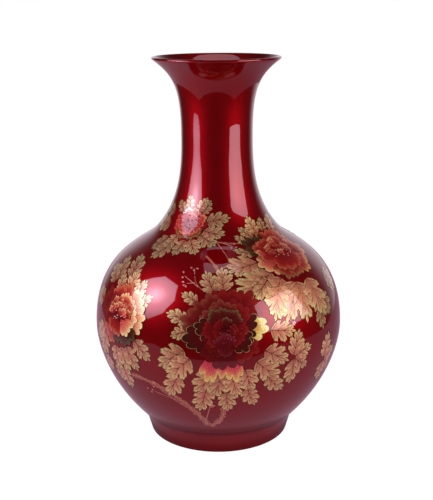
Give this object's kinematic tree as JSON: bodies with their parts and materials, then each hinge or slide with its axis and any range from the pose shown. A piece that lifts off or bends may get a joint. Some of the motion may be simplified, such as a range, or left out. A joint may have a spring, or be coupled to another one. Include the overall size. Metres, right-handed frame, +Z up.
{
  "type": "bottle vase",
  "caption": "Round-bellied porcelain bottle vase with a tall neck, flared mouth and foot ring, coated in pearl red with gilt peony transfers.",
  "frame": {"origin": "centre of the foot on the table", "axes": "+Z up along the axis of the vase, -Y the front, with the large peony, +X to the right seen from the front"},
  "size_m": [0.2616, 0.263, 0.4],
  "materials": {
    "porcelain": "matte",
    "slip": "matte",
    "pearl_red": "gloss",
    "clear_glaze": "gloss",
    "peony_film": "gloss",
    "gilt_film": "gloss"
  },
  "bodies": {
    "root": {"foot_ring": "porcelain", "lower_bowl": "porcelain", "upper_bowl": "porcelain", "neck": "porcelain", "foot_slip_seam": "slip", "belly_slip_seam": "slip", "neck_slip_seam": "slip", "red_coat": "pearl_red", "liner_glaze": "clear_glaze", "base_glaze": "clear_glaze", "centre_peony_transfer": "peony_film", "left_peony_transfer": "peony_film", "right_peony_transfer": "peony_film", "neck_peony_transfer": "peony_film", "back_peony_transfer": "peony_film", "side_leaf_transfer": "gilt_film", "back_left_leaf_transfer": "gilt_film", "back_right_leaf_transfer": "gilt_film", "branch_transfer": "gilt_film"}
  },
  "joints": []
}
